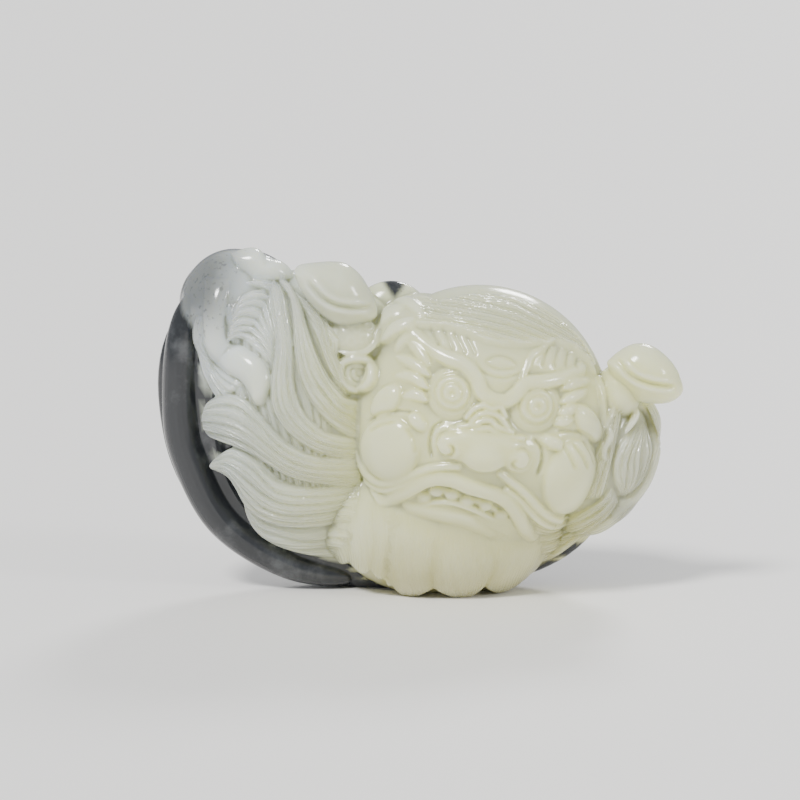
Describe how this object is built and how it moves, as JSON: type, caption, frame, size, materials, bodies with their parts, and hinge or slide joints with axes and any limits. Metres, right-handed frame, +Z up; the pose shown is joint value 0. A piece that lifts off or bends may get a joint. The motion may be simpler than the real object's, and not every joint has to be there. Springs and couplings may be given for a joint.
{
  "type": "jade carving",
  "caption": "Hand-sized jade carving of a mythical lion's head with bulging eyes, curled beard and windswept mane on a dark pebble back.",
  "frame": {"origin": "under the middle of the piece, on the surface that it stands on", "axes": "+X to the viewer's right along the piece, +Y from the face to the dark back, +Z up"},
  "size_m": [0.0616, 0.027, 0.0401],
  "materials": {
    "jade": "polished translucent jade, pale yellow-green face, bluish white mane and dark grey back"
  },
  "bodies": {
    "root": {"jade_lion_head": "jade"}
  },
  "joints": []
}
